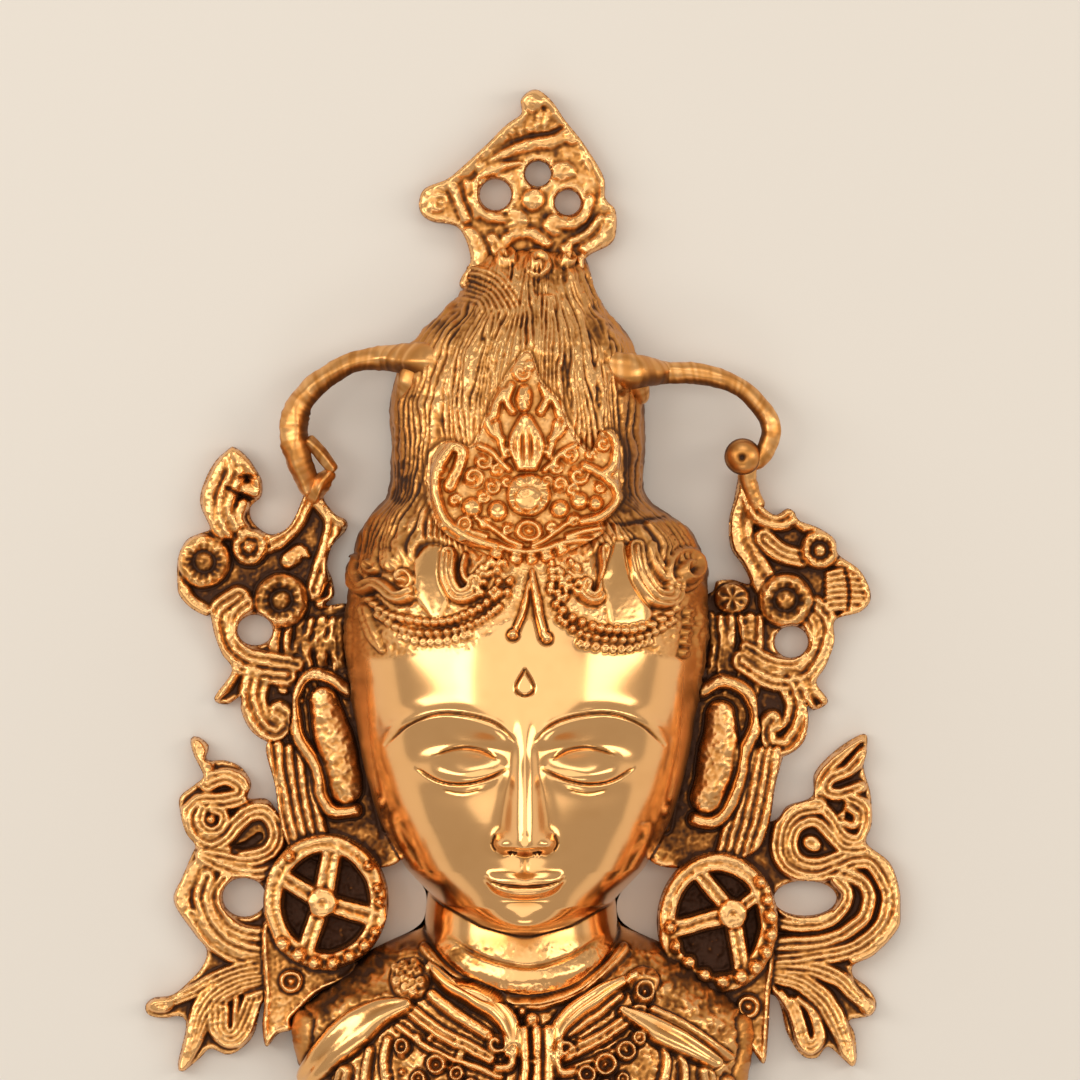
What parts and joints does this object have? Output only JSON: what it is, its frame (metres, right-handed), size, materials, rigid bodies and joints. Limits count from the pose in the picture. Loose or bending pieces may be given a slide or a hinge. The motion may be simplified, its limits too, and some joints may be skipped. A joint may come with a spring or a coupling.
{
  "type": "brass deity mask",
  "caption": "Hollow cast brass wall mask of a calm crowned deity with tall piled hair, pierced side ornament and wheel earrings.",
  "frame": {"origin": "middle of the bounding box in X and Y, on the plane of the open back", "axes": "+Z out of the face away from the open back, +Y towards the pierced finial, +X towards the viewer's right"},
  "size_m": [0.2286, 0.338, 0.0678],
  "materials": {
    "brass": "polished high spots with dark patina in the recesses"
  },
  "bodies": {
    "root": {"mask": "brass"}
  },
  "joints": []
}
